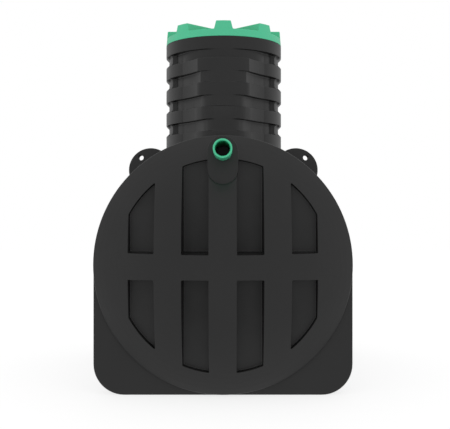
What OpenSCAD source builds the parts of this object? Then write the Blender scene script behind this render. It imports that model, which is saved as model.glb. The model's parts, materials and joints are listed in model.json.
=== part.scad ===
// Septic tank: a moulded shell on a flat base, with domed and ribbed ends,
// a ribbed access neck, a grip lid and an inlet and an outlet pipe.
// Millimetres, +Z up. The origin is on the ground, under the middle of the tank.
// The inlet end faces -Y.

/* [Tank body] */
// Width over the side hoops
body_w = 1160; // [1000:10:1400]
// Length between the rims of the two ends
body_l = 1350; // [1300:10:2000]
// Thickness of the moulded skin
wall = 10; // [7:1:12]
// Outer radius of the long lower edges
base_corner_r = 138; // [90:1:180]

/* [Hoops] */
// Number of hoops along the body
hoop_count = 6; // [4:1:7]
// Width of one hoop
hoop_w = 80; // [50:5:100]
// Height of a hoop above the skin
hoop_h = 20; // [12:1:25]

/* [Domed ends] */
// Step from the hoops down to the rim of an end
end_step = 2.5; // [1:0.5:6]
// Gap between the ground and the rim of an end
ground_gap = 5; // [2:1:15]
// Depth of the straight rim behind the dome
end_rim = 25; // [15:1:40]
// Rise of the dome above its rim
dome_rise = 210; // [190:5:240]
// Radius that rounds the rim's outer edge
rim_round = 8; // [3:1:15]

/* [Recessed panels] */
// Width of the ring around the panels
ring_w = 110; // [90:5:130]
// Width of an end beside its outer panels
end_side_w = 167.5; // [140:2.5:180]
// Width of the upright posts between the panels
post_w = 120; // [100:5:130]
// Height of the level bar at the panels
bar_h = 122; // [100:2:150]
// Draft of the level bar's faces
bar_draft = 2.7; // [0.5:0.1:5]
// Rise of the panels above the rim
panel_rise = 39; // [25:1:50]

/* [Pipes and pads] */
// Outer diameter of a pipe
pipe_d = 82; // [70:1:90]
// Wall thickness of a pipe
pipe_wall = 10; // [5:0.5:14]
// Drop of the pipes' axis below the top of the ends' rims
pipe_drop = 80.5; // [75:0.5:90]
// Length of pipe in front of the pad
pipe_out = 160; // [60:5:250]
// Length of pipe behind the pad's face
pipe_in = 150; // [100:5:220]
// Width of a pad
pad_w = 132; // [126:2:140]
// Straight run between a pad's rounded ends
pad_run = 79; // [60:1:90]
// Rise of a pad's face above the rim
pad_rise = 117; // [105:1:125]
// Wall thickness of the sleeve behind the pad
sleeve_wall = 7; // [4:1:8]
// Length of the sleeve behind the pad's face
sleeve_l = 60; // [40:5:80]

/* [Neck] */
// Outer diameter of the neck's bands
neck_d = 600; // [560:10:640]
// Height of the neck above the crown of the hoops
neck_rise = 520; // [500:5:700]
// Height of one band
band_h = 63; // [50:1:75]
// Distance between the tops of two bands
band_pitch = 118; // [110:1:125]
// Depth of the grooves between the bands
groove_depth = 35; // [25:1:40]
// Width of a side post, which bridges the grooves
post_bridge_w = 240; // [200:10:260]
// Depth of a side post below the bands
post_depth = 15; // [8:1:20]

/* [Noses of the neck] */
// Reach of a nose beyond the round of the bands
nose_out = 75; // [60:1:85]
// Width of a nose where it leaves a band's round
nose_root_w = 408; // [390:2:420]
// Width between the corners of a nose
nose_corner_w = 250; // [230:2:270]
// Height of a nose's tip over the line between its corners
nose_tip_h = 40; // [35:1:45]
// Hollow of a nose's flanks
flank_hollow = 2.5; // [1:0.5:4]
// Radii of the nose's corners, band by band downwards
nose_rounds = [1, 60, 100, 115]; // [1:1:120]
// Width of the nose where it leaves a groove's round
groove_root_w = 396; // [380:2:410]
// Width between the corners of the nose in the second groove
groove_corner_w = 222; // [200:2:230]
// Loss of that width from one groove to the next
groove_narrowing = 18; // [0:2:24]
// Radius of the nose's corners in a groove
groove_round = 15; // [5:1:30]
// Radius of the round tips of the first groove, which has no nose
first_tip_r = 222; // [210:1:235]

/* [Lid] */
// Height of the lid's rim
lid_rim_h = 37; // [20:1:45]
// Draft of the lid's outer faces
lid_draft = 5; // [0:0.5:8]
// Wall thickness of the lid
lid_wall = 6; // [4:1:8]
// Radius that rounds the rim's upper edge
lid_round = 3; // [2:1:6]
// Number of grip ribs
grip_count = 8; // [6:1:10]
// Width of a rib at its foot
grip_foot_w = 92; // [60:1:95]
// Width of a rib at its top
grip_top_w = 72; // [40:1:75]
// Height of a rib above the rim
grip_h = 40; // [25:1:60]
// Depth of the plug in the neck
plug_h = 50; // [30:1:60]
// Gap around the plug
plug_gap = 0.3; // [0.2:0.1:2]

/* [Lifting lugs] */
// Radius of a lug
lug_r = 105; // [90:1:120]
// Thickness of a lug
lug_w = 60; // [40:5:80]
// Depth of a lug's centre below the hoops
lug_sink = 23; // [18:1:40]
// Angle of a lug around the vault, from the level
lug_angle = 51.6; // [48:0.1:55]
// Distance of the hole from the lug's centre
lug_hole_out = 76; // [70:1:85]
// Diameter of the lug's hole
lug_hole_d = 25; // [15:1:35]

/* [Hidden] */
$fn = 128;
body_r = body_w / 2;
end_r = body_r - end_step;
axis_z = end_r + ground_gap;
skin_r = body_r - hoop_h;
shell_l = body_l - 2 * end_rim;
hoop_pitch = (shell_l - hoop_w) / (hoop_count - 1);
crown_z = axis_z + body_r;
dome_r = (end_r * end_r + dome_rise * dome_rise) / (2 * dome_rise);
dome_centre = dome_rise - dome_r;
panel_ring_r = end_r - ring_w;
panel_w = (end_r - end_side_w - 1.5 * post_w) / 2;
pad_r = pad_w / 2;
pipe_r = pipe_d / 2;
pipe_up = end_r - pipe_drop;
neck_r = neck_d / 2;
neck_top = crown_z + neck_rise;
neck_bore_r = neck_r - groove_depth - wall;
collar_bottom = neck_top - band_h;
band_count = len(nose_rounds);
groove_h = band_pitch - band_h;
nose_reach = neck_r + nose_out;
hairline = 1;
lid_top = neck_top + lid_rim_h;
lid_top_r = neck_r - lid_rim_h * tan(lid_draft);
lug_y = shell_l / 2 - hoop_w / 2 - hoop_pitch;
haunch_angle = 29;
crown_angle = 58;
clear = 5;
ease = 0.3;
black = [0.16, 0.16, 0.16];
green = [0.33, 0.73, 0.56];

// ---- Body ----

// Outline across the tank, around the vault's axis: a half circle on a rounded box.
module body_outline(inset) {
    half = body_r - inset;
    corner = base_corner_r - inset;
    floor_y = inset - axis_z;
    intersection() {
        circle(r = half);
        translate([-half, 0])
            square([2 * half, half]);
    }
    translate([-half, floor_y + corner])
        square([2 * half, -floor_y - corner]);
    translate([corner - half, floor_y])
        square([2 * (half - corner), corner]);
    for (side = [-1, 1])
        translate([side * (half - corner), floor_y + corner])
            circle(r = corner);
}

// Extrudes a plan drawn across the tank along its length, from y = start.
module along(start, length) {
    translate([0, start, axis_z])
        rotate([90, 0, 0])
            translate([0, 0, -length])
                linear_extrude(length)
                    children();
}

module hoops() {
    difference() {
        for (i = [0 : hoop_count - 1])
            along(i * hoop_pitch - shell_l / 2, hoop_w)
                body_outline(0);
        translate([0, 0, axis_z])
            linear_extrude(neck_rise + body_r)
                band_outline(band_count, 0);
    }
}

// The moulded body, open at both ends and under the neck.
module body_shell() {
    difference() {
        union() {
            along(-shell_l / 2, shell_l)
                body_outline(hoop_h);
            hoops();
        }
        along(-shell_l / 2 - 1, shell_l + 2)
            body_outline(hoop_h + wall);
        translate([0, 0, axis_z])
            cylinder(r = neck_bore_r, h = body_w);
    }
}

module tank_floor() {
    color(black)
        intersection() {
            body_shell();
            translate([base_corner_r - body_r, -body_l / 2, 0])
                cube([body_w - 2 * base_corner_r, body_l, axis_z]);
        }
}

module side_wall(side) {
    color(black)
        intersection() {
            body_shell();
            translate([side < 0 ? -body_r : body_r - base_corner_r, -body_l / 2, 0])
                cube([base_corner_r, body_l, axis_z]);
        }
}

// Part of the vault between two angles from the level, on the right side.
module vault_sector(from, to) {
    middle = (from + to) / 2;
    along(-body_l / 2, body_l)
        polygon([
            [0, 0],
            body_w * [cos(from), sin(from)],
            body_w * [cos(middle), sin(middle)],
            body_w * [cos(to), sin(to)]
        ]);
}

module vault_wall(side, from, to) {
    color(black)
        intersection() {
            body_shell();
            mirror([side < 0 ? 1 : 0, 0, 0])
                vault_sector(from, to);
        }
}

// Top of the vault, in front of the neck's axis or behind it.
module crown(end) {
    color(black)
        intersection() {
            body_shell();
            vault_sector(crown_angle, 180 - crown_angle);
            translate([-body_r, end < 0 ? -body_l / 2 : 0, axis_z])
                cube([body_w, body_l / 2, body_w]);
        }
}

// ---- Ends ----

// Places an end, drawn around the vault's axis with the dome towards +Z.
module at_end(end) {
    translate([0, end * body_l / 2, axis_z])
        rotate([90, 0, end < 0 ? 0 : 180])
            children();
}

// Flat wall that closes the base around the lower half of a round end.
module base_wall(end) {
    color(black)
        at_end(end)
            translate([0, 0, -end_rim - wall])
                linear_extrude(wall)
                    difference() {
                        body_outline(hoop_h + wall);
                        circle(r = end_r - wall);
                        translate([-body_r, 0])
                            square([body_w, body_r]);
                    }
}

// Solid dome on its straight rim, shrunk by inset, with a rounded rim.
module dome(inset) {
    outer = end_r - inset;
    ball = dome_r - inset;
    round_x = outer - rim_round;
    round_z = dome_centre + sqrt(pow(ball - rim_round, 2) - pow(round_x, 2));
    lean = asin(round_x / (ball - rim_round));
    foot = end_rim + (inset > 0 ? 1 : 0);
    rotate_extrude() {
        difference() {
            intersection() {
                translate([0, dome_centre])
                    circle(r = ball, $fn = 256);
                translate([0, -foot])
                    square([outer, dome_rise + foot]);
            }
            polygon([
                [round_x, round_z],
                [round_x + 3 * rim_round, round_z],
                [round_x + 3 * rim_round, round_z + 3 * rim_round],
                [round_x + 2 * rim_round * sin(lean), round_z + 2 * rim_round * cos(lean)]
            ]);
        }
        translate([round_x, round_z])
            circle(r = rim_round);
    }
}

// Plan of the panels above the level bar.
module panel_plan(grow) {
    intersection() {
        circle(r = panel_ring_r + grow);
        for (side = [-1, 1], i = [0, 1])
            translate([side * (post_w + panel_w) * (i + 0.5) - panel_w / 2 - grow, 0])
                square([panel_w + 2 * grow, end_r]);
    }
}

// The recesses in front of the panels, down to floor_z.
module recesses(grow, floor_z) {
    for (up = [0, 1])
        mirror([0, up, 0])
            intersection() {
                translate([0, 0, floor_z])
                    linear_extrude(dome_rise)
                        panel_plan(grow);
                translate([0, bar_h / 2 - grow, panel_rise])
                    rotate([bar_draft, 0, 0])
                        translate([-end_r, 0, -end_r])
                            cube([body_w, end_r, body_w]);
            }
}

module pad_plan(grow) {
    for (y = [pipe_up - pad_run, pipe_up])
        translate([0, y])
            circle(r = pad_r + grow);
    translate([-pad_r - grow, pipe_up - pad_run])
        square([pad_w + 2 * grow, pad_run]);
}

// The filled form of an end: its outer face at inset 0, its inner face at the wall.
module end_form(inset) {
    difference() {
        dome(inset);
        recesses(inset, panel_rise - inset);
        translate([0, 0, pad_rise - inset])
            linear_extrude(dome_rise)
                pad_plan(inset);
    }
    translate([0, 0, -inset])
        linear_extrude(pad_rise)
            pad_plan(-inset);
}

module end_skin() {
    difference() {
        end_form(0);
        end_form(wall);
    }
}

module pad_prism() {
    translate([0, 0, -wall])
        linear_extrude(pad_rise + wall)
            pad_plan(0);
}

// Ring, posts and bar of an end: one domed grid around the recesses.
module end_grid() {
    difference() {
        end_skin();
        recesses(0, panel_rise - wall);
        pad_prism();
    }
}

// Inner part of an end, which the ring surrounds.
module panel_field() {
    intersection() {
        translate([0, 0, -body_r])
            cylinder(r = panel_ring_r - clear, h = body_w);
        translate([end_side_w + clear - end_r, -end_r, -body_r])
            cube([2 * (end_r - end_side_w - clear), 2 * end_r, body_w]);
    }
}

module bar_slab() {
    translate([-end_r, -bar_h / 2 - clear, -body_r])
        cube([2 * end_r, bar_h + 2 * clear, body_w]);
}

module end_ring(end) {
    color(black)
        at_end(end)
            difference() {
                end_grid();
                panel_field();
            }
}

module end_bar(end) {
    color(black)
        at_end(end)
            intersection() {
                end_grid();
                panel_field();
                bar_slab();
            }
}

module end_posts(end) {
    color(black)
        at_end(end)
            intersection() {
                end_grid();
                panel_field();
                for (up = [0, 1])
                    mirror([0, up, 0])
                        translate([-end_r, bar_h / 2 + clear, -body_r])
                            cube([2 * end_r, end_r, body_w]);
            }
}

module end_panels(end) {
    color(black)
        at_end(end)
            difference() {
                intersection() {
                    recesses(0, panel_rise - wall);
                    translate([-end_r, -end_r, panel_rise - wall])
                        cube([2 * end_r, 2 * end_r, wall]);
                }
                pad_prism();
            }
}

// Raised pad of the skin with a sleeve that holds the pipe.
module pipe_pad(end) {
    color(black)
        at_end(end)
            difference() {
                union() {
                    intersection() {
                        end_skin();
                        pad_prism();
                    }
                    translate([0, pipe_up, pad_rise - sleeve_l])
                        cylinder(r = pipe_r + sleeve_wall, h = sleeve_l);
                }
                translate([0, pipe_up, 0])
                    cylinder(r = pipe_r, h = dome_rise);
            }
}

module pipe(end) {
    length = pipe_in + pipe_out;
    color(green)
        at_end(end)
            translate([0, pipe_up, pad_rise - pipe_in])
                difference() {
                    cylinder(r = pipe_r, h = length);
                    translate([0, 0, -1])
                        cylinder(r = pipe_r - pipe_wall, h = length + 2);
                }
}

// Round ear on a hoop, pierced for a shackle.
module lifting_lug(side, end) {
    angle = side < 0 ? 180 - lug_angle : lug_angle;
    color(black)
        difference() {
            along(end * lug_y - lug_w / 2, lug_w)
                rotate(angle)
                    translate([body_r - lug_sink, 0])
                        difference() {
                            circle(r = lug_r);
                            translate([lug_hole_out, 0])
                                circle(d = lug_hole_d);
                        }
            along(-body_l / 2, body_l)
                circle(r = body_r);
        }
}

// ---- Neck ----

// Point at distance ra from a and rb from b, to the left of the way from a to b.
function meet(a, ra, b, rb) =
    let (
        span = norm(b - a),
        way = (b - a) / span,
        run = (span * span + ra * ra - rb * rb) / (2 * span),
        off = sqrt(ra * ra - run * run)
    )
    a + run * way + off * [-way.y, way.x];

// One nose, towards +Y: a round tip between two hollow flanks that leave a circle
// of root_r at root_x, with corners rounded by round.
module nose(root_r, root_x, corner_x, tip_h, reach, round) {
    corner = [corner_x, reach - tip_h];
    root = [root_x, sqrt(root_r * root_r - root_x * root_x)];
    tip_r = (corner_x * corner_x + tip_h * tip_h) / (2 * tip_h);
    tip = [0, reach - tip_r];
    chord = norm(corner - root);
    outward = [corner.y - root.y, root.x - corner.x] / chord;
    flank_r = (chord * chord / 4 + flank_hollow * flank_hollow) / (2 * flank_hollow);
    flank = (root + corner) / 2 + (flank_r - flank_hollow) * outward;
    ball = meet(tip, tip_r - round, flank, flank_r + round);
    on_flank = ball + round * (flank - ball) / norm(flank - ball);
    on_tip = tip + tip_r * (ball - tip) / norm(ball - tip);
    difference() {
        intersection() {
            union() {
                translate(tip)
                    circle(r = tip_r);
                translate([-reach, -1])
                    square([2 * reach, corner.y - tip_h / 2]);
            }
            polygon([
                [-root.x, 0], [root.x, 0], root, corner, [corner.x, reach + 1],
                [-corner.x, reach + 1], [-corner.x, corner.y], [-root.x, root.y]
            ]);
        }
        for (side = [0, 1])
            mirror([side, 0]) {
                translate(flank)
                    circle(r = flank_r, $fn = 360);
                difference() {
                    polygon([on_flank, 2 * corner - ball, on_tip]);
                    translate(ball)
                        circle(r = round + ease);
                }
            }
    }
}

module nosed_round(round_r, root_w, corner_w, tip_h, reach, round, inset) {
    slant = inset / sqrt(2);
    circle(r = round_r - inset);
    for (end = [0, 1])
        mirror([0, end])
            nose(round_r - inset, root_w / 2 - slant, corner_w / 2 - slant, tip_h - inset + slant,
                reach - inset, max(round - inset, 1));
}

// Plan of the neck at band i, counted downwards from 1 below the collar.
module band_outline(i, inset) {
    nosed_round(neck_r, nose_root_w, nose_corner_w, nose_tip_h, nose_reach,
        nose_rounds[i - 1], inset);
}

// Plan of the neck at the groove above band i. Its tips end a hairline behind the
// bands, so that the groove fades out towards the middle of the nose.
module groove_outline(i, inset) {
    round_r = neck_r - groove_depth;
    if (i == 1) {
        circle(r = round_r - inset);
        for (end = [-1, 1])
            translate([0, end * (neck_r - hairline - first_tip_r)])
                circle(r = first_tip_r - inset);
    } else {
        nosed_round(round_r, groove_root_w, groove_corner_w - (i - 2) * groove_narrowing,
            nose_tip_h, nose_reach - hairline, groove_round, inset);
    }
}

// Two side posts across one groove, flared at 45 degrees into the bands.
module side_posts(z) {
    core = neck_bore_r + 1;
    face = neck_r - post_depth;
    translate([0, 0, z])
        intersection() {
            rotate_extrude()
                polygon([
                    [core, 0],
                    [neck_r, 0],
                    [face, post_depth],
                    [face, groove_h - post_depth],
                    [neck_r, groove_h],
                    [core, groove_h]
                ]);
            translate([-neck_r, -post_bridge_w / 2, 0])
                cube([neck_d, post_bridge_w, groove_h]);
        }
}

// Stack of bands and grooves below the collar, shrunk by inset.
module neck_stack(inset) {
    for (i = [1 : band_count]) {
        top = neck_top - i * band_pitch;
        bottom = i < band_count ? top - band_h + inset : axis_z - inset;
        translate([0, 0, bottom])
            linear_extrude(top - inset - bottom)
                band_outline(i, inset);
        translate([0, 0, top - inset])
            linear_extrude(groove_h + 2 * inset)
                groove_outline(i, inset);
    }
}

module neck_wall() {
    difference() {
        union() {
            difference() {
                neck_stack(0);
                neck_stack(wall);
            }
            for (i = [1 : band_count])
                side_posts(neck_top - i * band_pitch);
        }
        translate([0, 0, axis_z - 1])
            cylinder(r = neck_bore_r, h = neck_top);
        along(-body_l / 2, body_l)
            circle(r = skin_r);
    }
}

// One of four quarters of the neck's wall, turned to its side.
module neck_quarter(turn) {
    reach = 2 * nose_reach;
    color(black)
        intersection() {
            neck_wall();
            rotate(turn)
                linear_extrude(neck_top)
                    polygon([[0, 0], [reach, -reach], [reach, reach]]);
        }
}

module neck_collar() {
    color(black)
        translate([0, 0, collar_bottom])
            difference() {
                cylinder(r = neck_r, h = band_h);
                translate([0, 0, -1])
                    cylinder(r = neck_bore_r, h = band_h + 2);
            }
}

// ---- Lid ----

module lid_rim() {
    inner = lid_top_r - lid_wall;
    color(green)
        translate([0, 0, neck_top])
            rotate_extrude() {
                difference() {
                    polygon([
                        [inner, 0],
                        [neck_r, 0],
                        [lid_top_r, lid_rim_h],
                        [inner, lid_rim_h]
                    ]);
                    translate([lid_top_r - lid_round, lid_rim_h - lid_round])
                        square([neck_r, lid_rim_h]);
                }
                intersection() {
                    translate([lid_top_r - lid_round, lid_rim_h - lid_round])
                        circle(r = lid_round);
                    translate([inner, 0])
                        square([neck_r, lid_rim_h]);
                }
            }
}

module lid_plate() {
    color(green)
        translate([0, 0, lid_top - lid_wall])
            cylinder(r = lid_top_r - lid_wall, h = lid_wall);
}

module grip_profile(inset) {
    polygon([
        [inset - grip_foot_w / 2, -1],
        [grip_foot_w / 2 - inset, -1],
        [grip_foot_w / 2 - inset, 0],
        [grip_top_w / 2 - inset, grip_h - inset],
        [inset - grip_top_w / 2, grip_h - inset],
        [inset - grip_foot_w / 2, 0]
    ]);
}

// Ribs that meet in the middle, cut to the taper of the lid's rim.
module grip_star(inset) {
    intersection() {
        for (i = [0 : grip_count - 1])
            rotate(i * 360 / grip_count)
                rotate([90, 0, 0])
                    linear_extrude(neck_r)
                        grip_profile(inset);
        cylinder(r1 = lid_top_r - inset, r2 = lid_top_r - inset - grip_h * tan(lid_draft), h = grip_h);
    }
}

module lid_grip_ribs() {
    color(green)
        translate([0, 0, lid_top])
            difference() {
                grip_star(0);
                grip_star(lid_wall);
            }
}

module lid_plug() {
    plug_r = neck_bore_r - plug_gap;
    length = plug_h + lid_rim_h - lid_wall;
    color(green)
        translate([0, 0, neck_top - plug_h])
            difference() {
                cylinder(r = plug_r, h = length);
                translate([0, 0, -1])
                    cylinder(r = plug_r - lid_wall, h = length + 2);
            }
}

tank_floor();
side_wall(-1);  // left_side_wall
side_wall(1);  // right_side_wall
vault_wall(-1, 0, haunch_angle);  // left_lower_vault
vault_wall(-1, haunch_angle, crown_angle);  // left_upper_vault
vault_wall(1, 0, haunch_angle);  // right_lower_vault
vault_wall(1, haunch_angle, crown_angle);  // right_upper_vault
crown(-1);  // front_crown
crown(1);  // rear_crown
base_wall(-1);  // front_base_wall
base_wall(1);  // rear_base_wall
end_ring(-1);  // front_end_ring
end_posts(-1);  // front_end_posts
end_bar(-1);  // front_end_bar
end_panels(-1);  // front_end_panels
end_ring(1);  // rear_end_ring
end_posts(1);  // rear_end_posts
end_bar(1);  // rear_end_bar
end_panels(1);  // rear_end_panels
pipe_pad(-1);  // inlet_pad
pipe_pad(1);  // outlet_pad
pipe(-1);  // inlet_pipe
pipe(1);  // outlet_pipe
lifting_lug(-1, -1);  // front_left_lifting_lug
lifting_lug(1, -1);  // front_right_lifting_lug
lifting_lug(-1, 1);  // rear_left_lifting_lug
lifting_lug(1, 1);  // rear_right_lifting_lug
neck_quarter(-90);  // neck_front
neck_quarter(90);  // neck_rear
neck_quarter(180);  // neck_left
neck_quarter(0);  // neck_right
neck_collar();
lid_rim();
lid_plate();
lid_grip_ribs();
lid_plug();
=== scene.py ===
import json
import math

import bmesh
import bpy
import numpy as np
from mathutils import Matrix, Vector


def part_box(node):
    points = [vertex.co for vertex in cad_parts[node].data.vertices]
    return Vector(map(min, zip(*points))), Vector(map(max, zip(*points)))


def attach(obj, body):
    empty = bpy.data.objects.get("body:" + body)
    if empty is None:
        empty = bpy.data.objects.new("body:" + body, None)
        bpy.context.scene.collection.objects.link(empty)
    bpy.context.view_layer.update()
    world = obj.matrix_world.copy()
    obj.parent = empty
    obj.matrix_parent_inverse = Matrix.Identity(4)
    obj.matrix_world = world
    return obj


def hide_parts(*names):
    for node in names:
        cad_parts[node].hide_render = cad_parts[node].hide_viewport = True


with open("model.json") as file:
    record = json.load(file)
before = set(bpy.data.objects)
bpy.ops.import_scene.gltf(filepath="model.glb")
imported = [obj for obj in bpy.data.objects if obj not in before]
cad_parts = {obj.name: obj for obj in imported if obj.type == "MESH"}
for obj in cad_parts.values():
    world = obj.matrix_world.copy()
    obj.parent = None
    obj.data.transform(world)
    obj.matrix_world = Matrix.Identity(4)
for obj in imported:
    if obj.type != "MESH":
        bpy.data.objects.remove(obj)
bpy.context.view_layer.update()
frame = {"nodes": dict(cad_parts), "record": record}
NODES = frame["nodes"]
RECORD = frame["record"]

BLACK = "black_polyethylene"
GREEN = "green_polyethylene"


# ---------------------------------------------------------------- node materials

def new_material(name):
    mat = bpy.data.materials.new(name)
    mat.use_nodes = True
    tree = mat.node_tree
    tree.nodes.clear()
    out = tree.nodes.new("ShaderNodeOutputMaterial")
    shader = tree.nodes.new("ShaderNodeBsdfPrincipled")
    tree.links.new(shader.outputs["BSDF"], out.inputs["Surface"])
    return mat, tree, shader


def noise(tree, coords, scale, detail, rough=0.5):
    node = tree.nodes.new("ShaderNodeTexNoise")
    node.inputs["Scale"].default_value = scale
    node.inputs["Detail"].default_value = detail
    node.inputs["Roughness"].default_value = rough
    tree.links.new(coords, node.inputs["Vector"])
    return node.outputs["Fac"]


def ramp(tree, value, stops):
    node = tree.nodes.new("ShaderNodeValToRGB")
    tree.links.new(value, node.inputs["Fac"])
    points = node.color_ramp.elements
    while len(points) < len(stops):
        points.new(0.5)
    for point, (at, colour) in zip(points, stops):
        point.position = at
        point.color = (*colour, 1)
    return node.outputs["Color"]


def span(tree, value, low, high, to_low, to_high):
    node = tree.nodes.new("ShaderNodeMapRange")
    for key, number in (("From Min", low), ("From Max", high), ("To Min", to_low), ("To Max", to_high)):
        node.inputs[key].default_value = number
    tree.links.new(value, node.inputs["Value"])
    return node.outputs["Result"]


def bump(tree, height, strength, distance, before=None):
    node = tree.nodes.new("ShaderNodeBump")
    node.inputs["Strength"].default_value = strength
    node.inputs["Distance"].default_value = distance
    tree.links.new(height, node.inputs["Height"])
    if before is not None:
        tree.links.new(before, node.inputs["Normal"])
    return node.outputs["Normal"]


def moulded_plastic(name, dark, mid, light, rough, sheen_ior, grain=1.0, painted_shade_colour=None):
    """Rotationally moulded polyethylene: a cloudy tone, a fine orange peel and slow waves.
    In corners and recesses an ambient occlusion node darkens the tone towards a second, deeper colour:
    painted shade."""
    mat, tree, shader = new_material(name)
    coords = tree.nodes.new("ShaderNodeTexCoord").outputs["Object"]
    clouds = noise(tree, coords, 3.2, 4.0, 0.55)
    specks = noise(tree, coords, 240.0, 2.0, 0.6)
    peel = noise(tree, coords, 150.0, 3.0, 0.55)
    waves = noise(tree, coords, 5.0, 2.0, 0.4)
    colour = ramp(tree, clouds, [(0.3, dark), (0.52, mid), (0.75, light)])
    # Painted shade: where the ambient occlusion node finds nearby surfaces (corners, between ribs, deep
    # in bores), the base colour is mixed towards the darker colour.
    if painted_shade_colour is not None:
        corners = tree.nodes.new("ShaderNodeAmbientOcclusion")
        corners.inputs["Distance"].default_value = 0.25
        corners.samples = 12
        corners.only_local = True
        mix = tree.nodes.new("ShaderNodeMix")
        mix.data_type = "RGBA"
        # Sockets 6 and 7 are the two colours, and output 2 is their mix.
        mix.inputs[6].default_value = (*painted_shade_colour, 1)
        tree.links.new(span(tree, corners.outputs["AO"], 0.78, 0.97, 0.0, 1.0), mix.inputs[0])
        tree.links.new(colour, mix.inputs[7])
        colour = mix.outputs[2]
    tree.links.new(colour, shader.inputs["Base Color"])
    patchy = span(tree, noise(tree, coords, 9.0, 5.0, 0.6), 0.3, 0.7, rough - 0.04, rough + 0.05)
    tree.links.new(patchy, shader.inputs["Roughness"])
    normal = bump(tree, waves, 0.12 * grain, 0.004)
    normal = bump(tree, peel, 0.10 * grain, 0.0006, normal)
    normal = bump(tree, specks, 0.08 * grain, 0.0003, normal)
    tree.links.new(normal, shader.inputs["Normal"])
    shader.inputs["IOR"].default_value = sheen_ior
    return mat


black_mat = moulded_plastic(
    "black_moulded_polyethylene",
    (0.0083, 0.0083, 0.0084), (0.0095, 0.0095, 0.0096), (0.0108, 0.0108, 0.0109), 0.36, 1.6)
# The green's second, deeper colour is painted shade for its corners, the lid's rib sides and the pipe
# bores.
green_mat = moulded_plastic(
    "green_moulded_polyethylene",
    (0.056, 0.535, 0.284), (0.061, 0.558, 0.298), (0.067, 0.580, 0.312), 0.34, 1.6,
    grain=0.6, painted_shade_colour=(0.040, 0.485, 0.248))
MATERIALS = {BLACK: black_mat, GREEN: green_mat}


# ---------------------------------------------------------------- mesh tools

def mesh_object(name, verts, faces):
    mesh = bpy.data.meshes.new(name)
    mesh.from_pydata([tuple(v) for v in verts], [], [tuple(f) for f in faces])
    mesh.validate()
    obj = bpy.data.objects.new(name, mesh)
    bpy.context.scene.collection.objects.link(obj)
    return obj


def shade_smooth(obj):
    obj.data.polygons.foreach_set("use_smooth", [True] * len(obj.data.polygons))


def node_meshes(names):
    """Vertices and faces of CAD nodes, one after another."""
    verts, faces = [], []
    for name in names:
        mesh = NODES[name].data
        base = len(verts)
        verts += [tuple(v.co) for v in mesh.vertices]
        faces += [tuple(base + i for i in p.vertices) for p in mesh.polygons]
    return verts, faces


def rod(centre_a, centre_b, radius, count=96):
    """A closed cylinder between two points, as vertices and faces."""
    a, b = Vector(centre_a), Vector(centre_b)
    turn = (b - a).to_track_quat("Z", "Y").to_matrix()
    verts = []
    for end in (a, b):
        for i in range(count):
            t = 2 * math.pi * i / count
            verts.append(tuple(end + turn @ Vector((radius * math.cos(t), radius * math.sin(t), 0))))
    faces = [tuple(reversed(range(count))), tuple(range(count, 2 * count))]
    faces += [(i, (i + 1) % count, count + (i + 1) % count, count + i) for i in range(count)]
    return verts, faces


def apply_modifiers(obj):
    graph = bpy.context.evaluated_depsgraph_get()
    mesh = bpy.data.meshes.new_from_object(obj.evaluated_get(graph))
    old = obj.data
    obj.modifiers.clear()
    obj.data = mesh
    bpy.data.meshes.remove(old)


def arc_slab(inner, outer, low, high, y_from, y_to, count=96):
    """A closed slab bent around the vault's axis, between two angles."""
    verts = []
    for y in (y_from, y_to):
        for radius in (inner, outer):
            for i in range(count + 1):
                t = math.radians(low + (high - low) * i / count)
                verts.append((radius * math.cos(t), y, axis_z + radius * math.sin(t)))
    n = count + 1
    faces = []
    for i in range(count):
        faces.append((i, i + 1, n + i + 1, n + i))
        faces.append((2 * n + i, 3 * n + i, 3 * n + i + 1, 2 * n + i + 1))
        faces.append((i, 2 * n + i, 2 * n + i + 1, i + 1))
        faces.append((n + i, n + i + 1, 3 * n + i + 1, 3 * n + i))
    faces.append((0, n, 3 * n, 2 * n))
    faces.append((count, 2 * n + count, 3 * n + count, n + count))
    return verts, faces


def read(items, key, width, kind=float):
    """One attribute of all items as an array, with a row for each item."""
    values = np.empty(len(items) * width, dtype=kind)
    items.foreach_get(key, values)
    return values.reshape(-1, width) if width > 1 else values


def outer_skin(mesh):
    """True for each face of the island with the most faces."""
    pairs = read(mesh.edges, "vertices", 2, np.int32)
    start = np.concatenate([pairs[:, 0], pairs[:, 1]])
    end = np.concatenate([pairs[:, 1], pairs[:, 0]])
    order = np.argsort(start, kind="stable")
    start, end = start[order], end[order]
    first = np.flatnonzero(np.r_[True, start[1:] != start[:-1]])
    owner = start[first]
    label = np.arange(len(mesh.vertices))
    while True:
        best = label.copy()
        best[owner] = np.minimum(label[owner], np.minimum.reduceat(label[end], first))
        best = best[best]
        best = best[best]
        if np.array_equal(best, label):
            break
        label = best
    corner = read(mesh.loops, "vertex_index", 1, np.int32)[read(mesh.polygons, "loop_start", 1, np.int32)]
    island = label[corner]
    return island == np.bincount(island).argmax()


def take_away(obj, drop):
    """Keeps the outer skin, without the faces that drop(centres, normals) marks."""
    mesh = obj.data
    marked = ~outer_skin(mesh)
    if drop is not None:
        marked |= drop(read(mesh.polygons, "center", 3), read(mesh.polygons, "normal", 3))
    bm = bmesh.new()
    bm.from_mesh(mesh)
    bm.faces.ensure_lookup_table()
    bmesh.ops.delete(bm, geom=[bm.faces[i] for i in np.flatnonzero(marked)], context="FACES")
    bm.to_mesh(mesh)
    bm.free()


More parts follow.
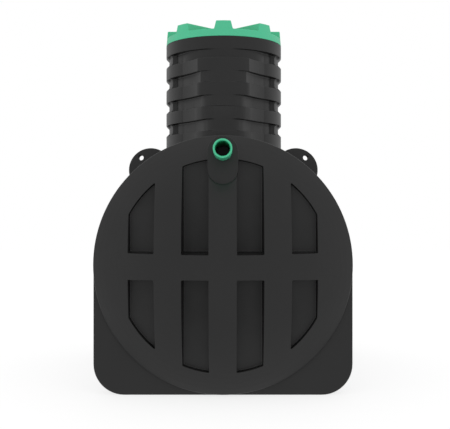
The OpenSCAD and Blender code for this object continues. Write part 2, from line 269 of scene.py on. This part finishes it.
def thin_out(obj, triangles):
    """Fewer triangles where the skin is plain, with the shading of the fine mesh."""
    count = sum(len(p.vertices) - 2 for p in obj.data.polygons)
    if count <= triangles:
        return
    fine = obj.copy()
    fine.data = obj.data.copy()
    bpy.context.scene.collection.objects.link(fine)
    shade_smooth(fine)
    shade_smooth(obj)
    thin = obj.modifiers.new("thin", "DECIMATE")
    thin.ratio = triangles / count
    carry = obj.modifiers.new("carry", "DATA_TRANSFER")
    carry.object = fine
    carry.use_loop_data = True
    carry.data_types_loops = {"CUSTOM_NORMAL"}
    carry.loop_mapping = "POLYINTERP_NEAREST"
    apply_modifiers(obj)
    old = fine.data
    bpy.data.objects.remove(fine)
    bpy.data.meshes.remove(old)


def moulding(name, nodes, voxel, plugs, soften, drop, slot, triangles, reshape=None):
    """The outer skin of CAD nodes as one moulding with soft edges. Plugs close the hollow
    while the skin is made, and drop(centres, normals) says which faces to take away again.
    Reshape(points) may move the points a little before that."""
    verts, faces = node_meshes(nodes)
    for plug_verts, plug_faces in plugs:
        base = len(verts)
        verts += plug_verts
        faces += [tuple(base + i for i in f) for f in plug_faces]
    obj = mesh_object(name, verts, faces)
    weld(obj)
    remesh = obj.modifiers.new("remesh", "REMESH")
    remesh.mode = "VOXEL"
    remesh.voxel_size = voxel
    ease = obj.modifiers.new("ease", "SMOOTH")
    ease.factor = 0.5
    ease.iterations = soften
    apply_modifiers(obj)
    if reshape is not None:
        obj.data.vertices.foreach_set("co", reshape(read(obj.data.vertices, "co", 3)).ravel())
    take_away(obj, drop)
    whole = len(obj.data.polygons)
    thin_out(obj, triangles)
    finish_piece(obj, slot, nodes)
    print(name, whole, "faces, thinned to", len(obj.data.polygons))
    return obj


def weld(obj, distance=0.00002):
    bm = bmesh.new()
    bm.from_mesh(obj.data)
    bmesh.ops.remove_doubles(bm, verts=bm.verts, dist=distance)
    bm.to_mesh(obj.data)
    bm.free()


def finish_piece(obj, slot, nodes):
    obj.data.materials.clear()
    obj.data.materials.append(MATERIALS[slot])
    shade_smooth(obj)
    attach(obj, "root")
    if nodes:
        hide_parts(*nodes)


# ---------------------------------------------------------------- materials of the CAD nodes

for entry in RECORD["subparts"]:
    data = NODES[entry["node"]].data
    data.materials.clear()
    data.materials.append(MATERIALS[entry["material_slot"]])


# ---------------------------------------------------------------- sizes from the frame

ring_low, ring_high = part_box("front_end_ring")
pipe_low, pipe_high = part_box("inlet_pipe")
collar_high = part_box("neck_collar")[1]
end_r = (ring_high.x - ring_low.x) / 2
axis_z = (ring_high.z + ring_low.z) / 2
rim_back = ring_high.y
pipe_r = (pipe_high.x - pipe_low.x) / 2
pipe_z = (pipe_high.z + pipe_low.z) / 2
pad_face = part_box("inlet_pad")[0].y
body_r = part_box("right_side_wall")[1].x
neck_top = collar_high.z
neck_r = collar_high.x
nose_reach = abs(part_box("neck_front")[0].y)
skin = 0.010
hoop_rise = 0.020
hoop_w = 0.080
hoop_count = 6
corner_r = 0.138
pipe_bore_r = 0.031
skin_r = body_r - hoop_rise

# Bands and grooves of the neck, counted downwards below the collar
band_pitch = 0.118
band_h = 0.063
band_count = 4
groove_depth = 0.035
post_half = 0.120
post_flare = 0.015

# Noses of the neck: half widths at the root and at the corner, reach and height of the tip
nose_root = 0.204
nose_corner = 0.125
nose_out = 0.075
nose_tip_h = 0.040
flank_hollow = 0.0025
groove_root = 0.198
groove_corners = {2: 0.111, 3: 0.102, 4: 0.093}


# ---------------------------------------------------------------- domed ends

def end_moulding(name, side, nodes):
    """A domed end with its grid, panels and pad in one skin. Side is -1 at the inlet."""
    back = side * abs(rim_back)
    face = side * abs(pad_face)
    disc = rod((0, back, axis_z), (0, back + side * skin, axis_z), end_r - skin / 2, 192)
    bung = rod((0, face - side * 0.0005, pipe_z), (0, face - side * 0.05, pipe_z), pipe_r + 0.001)

    def drop(at, normal):
        inside = (np.abs(at[:, 1]) < abs(back) + 0.6 * skin) & (normal[:, 1] * side < -0.6)
        from_pipe = np.hypot(at[:, 0], at[:, 2] - pipe_z)
        return inside | ((from_pipe < pipe_r - 0.003) & (np.abs(at[:, 1]) > abs(back) + 0.03))

    return moulding(name, nodes, 0.0020, [disc, bung], 1, drop, BLACK, 190000)


END_NODES = ["end_ring", "end_posts", "end_bar", "end_panels"]
front_end = end_moulding("front_end_moulding", -1, ["front_" + n for n in END_NODES] + ["inlet_pad"])

# The rear end is the front one, turned half round.
rear_end = bpy.data.objects.new("rear_end_moulding", front_end.data.copy())
bpy.context.scene.collection.objects.link(rear_end)
rear_end.rotation_euler = (0, 0, math.pi)
finish_piece(rear_end, BLACK, ["rear_" + n for n in END_NODES] + ["outlet_pad"])


# ---------------------------------------------------------------- body

def body_outline(steps=40):
    """Points around the tank's outline with their outward directions, in X and Z."""
    points = []
    half = body_r - corner_r
    for i in range(3 * steps + 1):
        t = math.pi * i / (3 * steps)
        d = (math.cos(t), math.sin(t))
        points.append((d[0] * body_r, axis_z + d[1] * body_r, *d))
    side_run = axis_z - corner_r
    for i in range(1, 12):
        points.append((-body_r, axis_z - side_run * i / 12, -1.0, 0.0))
    for i in range(13):
        t = math.pi + 0.5 * math.pi * i / 12
        d = (math.cos(t), math.sin(t))
        points.append((-half + d[0] * corner_r, corner_r + d[1] * corner_r, *d))
    for i in range(1, 20):
        points.append((-half + 2 * half * i / 20, 0.0, 0.0, -1.0))
    for i in range(13):
        t = 1.5 * math.pi + 0.5 * math.pi * i / 12
        d = (math.cos(t), math.sin(t))
        points.append((half + d[0] * corner_r, corner_r + d[1] * corner_r, *d))
    for i in range(1, 12):
        points.append((body_r, corner_r + side_run * i / 12, 1.0, 0.0))
    return points


def body_stations():
    """Insets of the skin along Y, hoop after hoop."""
    length = 2 * abs(rim_back)
    pitch = (length - hoop_w) / (hoop_count - 1)
    fillet, draft = 0.006, 0.003
    stations = []
    for i in range(hoop_count):
        start = -length / 2 + i * pitch
        for sign, edge in ((-1, start), (1, start + hoop_w)):
            outermost = (i == 0 and sign < 0) or (i == hoop_count - 1 and sign > 0)
            rows = []
            for k in range(6):
                t = 0.5 * math.pi * k / 5
                rows.append((-sign * fillet * (1 - math.sin(t)), fillet * (1 - math.cos(t))))
            if not outermost:
                for k in range(6):
                    t = 0.5 * math.pi * k / 5
                    along = sign * (draft + fillet * (1 - math.cos(t)))
                    rows.append((along, hoop_rise - fillet * (1 - math.sin(t))))
            rows = [(edge + y, e) for y, e in rows]
            stations += rows
        if i < hoop_count - 1:
            for k in range(1, 4):
                stations.append((start + hoop_w + (pitch - hoop_w) * k / 4, hoop_rise))
    return sorted(stations)


def body_moulding():
    """The body as one closed skin over the hoops. Its hollow doesn't show."""
    outline = body_outline()
    rows = body_stations()
    count = len(outline)
    verts = [(x - e * nx, y, z - e * nz) for y, e in rows for x, z, nx, nz in outline]
    faces = []
    for r in range(len(rows) - 1):
        for i in range(count):
            j = (i + 1) % count
            faces.append((r * count + i, (r + 1) * count + i, (r + 1) * count + j, r * count + j))
    faces.append(tuple(range(count)))
    faces.append(tuple(reversed(range((len(rows) - 1) * count, len(rows) * count))))
    obj = mesh_object("body_moulding", verts, faces)
    bm = bmesh.new()
    bm.from_mesh(obj.data)
    caps = [f for f in bm.faces if len(f.verts) > 4]
    bmesh.ops.inset_region(bm, faces=caps, thickness=0.004, depth=0)
    bmesh.ops.recalc_face_normals(bm, faces=bm.faces)
    bm.to_mesh(obj.data)
    bm.free()
    finish_piece(obj, BLACK, [
        "tank_floor", "left_side_wall", "right_side_wall", "left_lower_vault", "left_upper_vault",
        "right_lower_vault", "right_upper_vault", "front_crown", "rear_crown",
        "front_base_wall", "rear_base_wall"])
    print("body_moulding", len(obj.data.polygons), "faces")


body_moulding()


# ---------------------------------------------------------------- neck

def smooth_step(value, low, high):
    t = np.clip((value - low) / (high - low), 0, 1)
    return t * t * (3 - 2 * t)


def groove_form(at):
    """Eases the grooves of the neck: fuller at the sides, running out on the noses, and
    with the flare of the side posts kept to their middle."""
    hair = 0.001
    x, y, z = at[:, 0].copy(), at[:, 1].copy(), at[:, 2]
    from_axis = np.hypot(x, y)
    down = neck_top - z
    rest = down % band_pitch
    in_groove = (down > band_h - hair) & (down < band_count * band_pitch + hair)
    in_groove &= np.abs(y) > post_half - 0.0005
    in_groove &= (rest > band_h - hair) | (rest < hair)

    # The posts' flares at 45 degrees become steps beside the middle.
    below, above = rest - band_h, band_pitch - rest
    height = np.minimum(below, above)
    flared = (height > 0) & (height < post_flare) & (np.abs(from_axis + height - neck_r) < 0.003)
    flared &= (np.abs(y) < post_half + 0.0015) & (down < band_count * band_pitch)
    t = height / post_flare
    stepped = smooth_step(np.abs(y), 0.058, 0.078)
    step_r = np.where(t < 0.5, neck_r - 2 * t * post_flare, neck_r - post_flare)
    step_height = np.where(t < 0.5, 0.0, (2 * t - 1) * post_flare)
    new_r = from_axis + stepped * (step_r - from_axis)
    new_height = height + stepped * (step_height - height)
    scale = np.where(flared, new_r / np.maximum(from_axis, 0.001), 1.0)
    at[:, 0] *= scale
    at[:, 1] *= scale
    rise = np.where(below < above, height - new_height, new_height - height)
    at[:, 2] = np.where(flared, z + rise, z)

    # The grooves are a little fuller beside the posts.
    x, y = at[:, 0].copy(), at[:, 1].copy()
    from_axis = np.hypot(x, y)
    swell = 0.004 * np.clip((neck_r - from_axis) / groove_depth, 0, 1)
    swell[~in_groove | (from_axis < neck_r - groove_depth - 0.003)] = 0
    at[:, 0] = x * (1 + swell / from_axis)
    at[:, 1] = y * (1 + swell / from_axis)

    # On the noses they fade out towards the middle.
    tip_r = (nose_corner ** 2 + nose_tip_h ** 2) / (2 * nose_tip_h)
    arc = neck_r + nose_out - tip_r + np.sqrt(np.clip(tip_r ** 2 - x ** 2, 0, None))
    short = arc - np.abs(y)
    near_tip = (np.abs(x) < 0.09) & (short > -hair) & (short < 0.014)
    near_tip &= down > band_pitch + 0.004
    faded = np.sign(y) * (arc - short * smooth_step(np.abs(x), 0.025, 0.088))
    at[:, 1] = np.where(near_tip, faded, at[:, 1])
    return at


def nose_line(x, root_r, root_x, corner_x, tip_r, easing, hollow, out=0.0):
    """Plan of a nose: its reach at x, from the round tip over a corner eased over that
    width to the hollow flank."""
    middle = nose_reach + out - tip_r
    corner_y = middle + math.sqrt(tip_r ** 2 - corner_x ** 2)
    root_y = math.sqrt(root_r ** 2 - root_x ** 2)
    samples = 13
    total = np.zeros(len(x))
    for step in np.linspace(-easing, easing, samples):
        at = np.abs(np.abs(x) + step)
        t = (at - corner_x) / (root_x - corner_x)
        sag = hollow * (1 - (2 * np.clip(t, 0, 1) - 1) ** 2)
        tip = middle + np.sqrt(np.clip(tip_r ** 2 - at ** 2, 0, None))
        total += np.where(at < corner_x, tip, corner_y + t * (root_y - corner_y) - sag)
    return total / samples


def ease_noses(at):
    """Narrows and rounds the noses of the neck's lower bands and of the grooves above."""
    x, y, down = at[:, 0], np.abs(at[:, 1]), neck_top - at[:, 2]

    def change(root_r, root_x, old_corner, old_easing, corner, easing, hollow, out):
        tip_r = (old_corner ** 2 + nose_tip_h ** 2) / (2 * nose_tip_h)
        before = nose_line(x, root_r, root_x, old_corner, tip_r, old_easing, flank_hollow)
        after = nose_line(x, root_r, root_x, corner, tip_r, easing, hollow, out)
        return before, np.where(np.abs(x) < root_x, after - before, 0.0)

    # For each band: the easing of its corner in the CAD, then the corner's place and
    # easing, the flank's hollow and the further reach that it gets here.
    bands = {
        i: change(neck_r, nose_root, nose_corner, *row) for i, row in {
            2: (0.008, 0.121, 0.010, 0.0045, 0.002),
            3: (0.014, 0.104, 0.024, 0.0055, 0.014),
            4: (0.016, 0.101, 0.027, 0.0060, 0.015)}.items()}
    grooves = {
        i: change(neck_r - groove_depth, groove_root, groove_corners[i], 0.002, *row) for i, row in {
            2: (0.108, 0.003, 0.0030, 0.0),
            3: (0.092, 0.013, 0.0030, 0.002),
            4: (0.086, 0.018, 0.0035, 0.014)}.items()}

    # Each ledge with its groove and its band. A point moves with the groove, with the band,
    # or between the two on the ledge nearest to it.
    ledges = [(2 * band_pitch, 2, 2)]
    for i in (3, 4):
        ledges += [((i - 1) * band_pitch + band_h, i, i - 1), (i * band_pitch, i, i)]
    nearest = np.argmin([np.abs(down - level) for level, _, _ in ledges], axis=0)
    shift = np.zeros(len(x))
    for number, (level, groove, band) in enumerate(ledges):
        groove_y, groove_change = grooves[groove]
        band_y, band_change = bands[band]
        into_band = level - down if band < groove else down - level
        share_by_row = smooth_step(into_band, -0.0025, 0.0025)
        share_by_reach = np.clip((y - groove_y) / np.maximum(band_y - groove_y, 0.004), 0, 1)
        trust = smooth_step(band_y - groove_y, 0.004, 0.012)
        share = share_by_row + trust * (share_by_reach - share_by_row)
        mixed = groove_change + share * (band_change - groove_change)
        shift = np.where(nearest == number, mixed, shift)
    shift *= smooth_step(down, 2 * band_pitch - 0.004, 2 * band_pitch - 0.001)
    foot = band_count * band_pitch
    shift *= 1 - smooth_step(down, foot + 0.033, foot + 0.060)
    at[:, 1] += np.sign(at[:, 1]) * np.where(y > 0.17, shift, 0.0)
    return at


def neck_form(at):
    return ease_noses(groove_form(at))


def neck_moulding():
    """The neck in one skin, open at the vault and under the lid."""
    nodes = ["neck_front", "neck_rear", "neck_left", "neck_right", "neck_collar"]
    beyond = nose_reach + 0.03
    vault = arc_slab(skin_r - 0.012, skin_r + 0.001, 50, 130, -beyond, beyond)
    bore = neck_r - 0.03
    top = rod((0, 0, neck_top - skin), (0, 0, neck_top), bore, 192)

    def drop(at, normal):
        on_vault = np.hypot(at[:, 0], at[:, 2] - axis_z) < skin_r + 0.0012
        from_axis = np.hypot(at[:, 0], at[:, 1])
        under_lid = (normal[:, 2] > 0.9) & (at[:, 2] > neck_top - 0.003) & (from_axis < bore)
        return on_vault | (np.abs(at[:, 1]) > nose_reach + 0.02) | under_lid

    return moulding("neck_moulding", nodes, 0.0022, [vault, top], 1, drop, BLACK, 190000, neck_form)


neck_moulding()


# ---------------------------------------------------------------- lugs, lid and pipes

for end in ("front", "rear"):
    for side in ("left", "right"):
        node = f"{end}_{side}_lifting_lug"
        moulding(f"{end}_{side}_lug_moulding", [node], 0.0016, (), 2, None, BLACK, 9000)


def lid_moulding():
    """The lid's rim, plate and ribs in one skin, open below."""
    nodes = ["lid_rim", "lid_plate", "lid_grip_ribs"]
    low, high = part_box("lid_rim")
    disc = rod((0, 0, low.z + 0.001), (0, 0, low.z + 0.008), high.x - 0.008, 192)

    def drop(at, normal):
        return (normal[:, 2] < -0.8) & (at[:, 2] < low.z + 0.004)

    return moulding("lid_moulding", nodes, 0.0022, [disc], 1, drop, GREEN, 130000)


lid_moulding()


def pipe_piece(name, node):
    """A pipe, revolved from a wall with rounded ends. The bore's mouths are eased further
    along the pipe than across it."""
    low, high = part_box(node)
    slim_r = pipe_r - 0.0006
    outer_round, bore_round, bore_easing = 0.0028, 0.0042, 2.4
    profile = []
    for r, y, turn, round_r, long in (
            (slim_r, low.y, 0, outer_round, 1), (slim_r, high.y, 1, outer_round, 1),
            (pipe_bore_r, high.y, 2, bore_round, bore_easing),
            (pipe_bore_r, low.y, 3, bore_round, bore_easing)):
        cx = r - round_r if r == slim_r else r + round_r
        cy = y + round_r * long if y == low.y else y - round_r * long
        for k in range(5):
            t = math.radians(-90 + 90 * turn + 90 * k / 4)
            profile.append((cx + round_r * math.cos(t), cy + round_r * long * math.sin(t)))
    count = 96
    verts, faces = [], []
    for i in range(count):
        a = 2 * math.pi * i / count
        verts += [(r * math.cos(a), y, pipe_z + r * math.sin(a)) for r, y in profile]
    n = len(profile)
    for i in range(count):
        j = (i + 1) % count
        for k in range(n):
            m = (k + 1) % n
            faces.append((i * n + k, i * n + m, j * n + m, j * n + k))
    obj = mesh_object(name, verts, faces)
    bm = bmesh.new()
    bm.from_mesh(obj.data)
    long_edges = [e for e in bm.edges if e.calc_length() > 0.1]
    bmesh.ops.subdivide_edges(bm, edges=long_edges, cuts=8)
    bmesh.ops.recalc_face_normals(bm, faces=bm.faces)
    bm.to_mesh(obj.data)
    bm.free()
    finish_piece(obj, GREEN, [node])


pipe_piece("inlet_pipe_moulding", "inlet_pipe")
pipe_piece("outlet_pipe_moulding", "outlet_pipe")


# ---------------------------------------------------------------- camera and light

cam_data = bpy.data.cameras.new("camera")
cam = bpy.data.objects.new("camera", cam_data)
bpy.context.scene.collection.objects.link(cam)
bpy.context.scene.camera = cam
cam_data.sensor_width = 36.0
cam_data.lens = 66.4
cam_data.clip_end = 60.0
cam.location = (0.022, -4.36, 0.807)
cam.rotation_euler = (math.radians(90), 0, 0)
cam_data.shift_x = -0.0065

floor = mesh_object("floor", [(-14, -14, 0), (14, -14, 0), (14, 14, 0), (-14, 14, 0)], [(0, 1, 2, 3)])
floor.visible_glossy = False
floor.visible_diffuse = False
floor_mat, floor_tree, floor_shader = new_material("pale_floor")
floor_shader.inputs["Base Color"].default_value = (0.24, 0.24, 0.24, 1)
floor_shader.inputs["Emission Color"].default_value = (1, 1, 1, 1)
floor_shader.inputs["Emission Strength"].default_value = 0.78
floor_shader.inputs["Specular IOR Level"].default_value = 0.0
floor_shader.inputs["Roughness"].default_value = 0.9
floor.data.materials.append(floor_mat)

world = bpy.data.worlds.new("studio")
bpy.context.scene.world = world
world.use_nodes = True
world.node_tree.nodes["Background"].inputs["Color"].default_value = (1, 1, 1, 1)
tree = world.node_tree


def choose(factor, low, high):
    node = tree.nodes.new("ShaderNodeMapRange")
    for key, value in (("To Min", low), ("To Max", high)):
        if isinstance(value, float):
            node.inputs[key].default_value = value
        else:
            tree.links.new(value, node.inputs[key])
    tree.links.new(factor, node.inputs["Value"])
    return node.outputs["Result"]


# In the sheen, what stands behind the camera is darker than what stands behind the tank.
ray = tree.nodes.new("ShaderNodeLightPath")
parts = tree.nodes.new("ShaderNodeSeparateXYZ")
tree.links.new(tree.nodes.new("ShaderNodeTexCoord").outputs["Generated"], parts.inputs["Vector"])
depth = span(tree, parts.outputs["Y"], -1.0, 1.0, 0.0, 1.0)
sheen_levels = (
    (0.0, 0.47), (0.15, 0.46), (0.25, 0.47), (0.315, 0.52),
    (0.42, 0.46), (0.52, 0.46), (0.75, 0.59), (1.0, 0.60))
sheen = ramp(tree, depth, [(at, (level,) * 3) for at, level in sheen_levels])
glow = span(tree, parts.outputs["Z"], -0.15, 0.15, 0.80, 1.07)
lit = choose(ray.outputs["Is Glossy Ray"], glow, sheen)
strength = choose(ray.outputs["Is Camera Ray"], lit, 1.0)
tree.links.new(strength, tree.nodes["Background"].inputs["Strength"])


bpy.context.scene.view_settings.view_transform = "Standard"
bpy.context.scene.view_settings.look = "None"
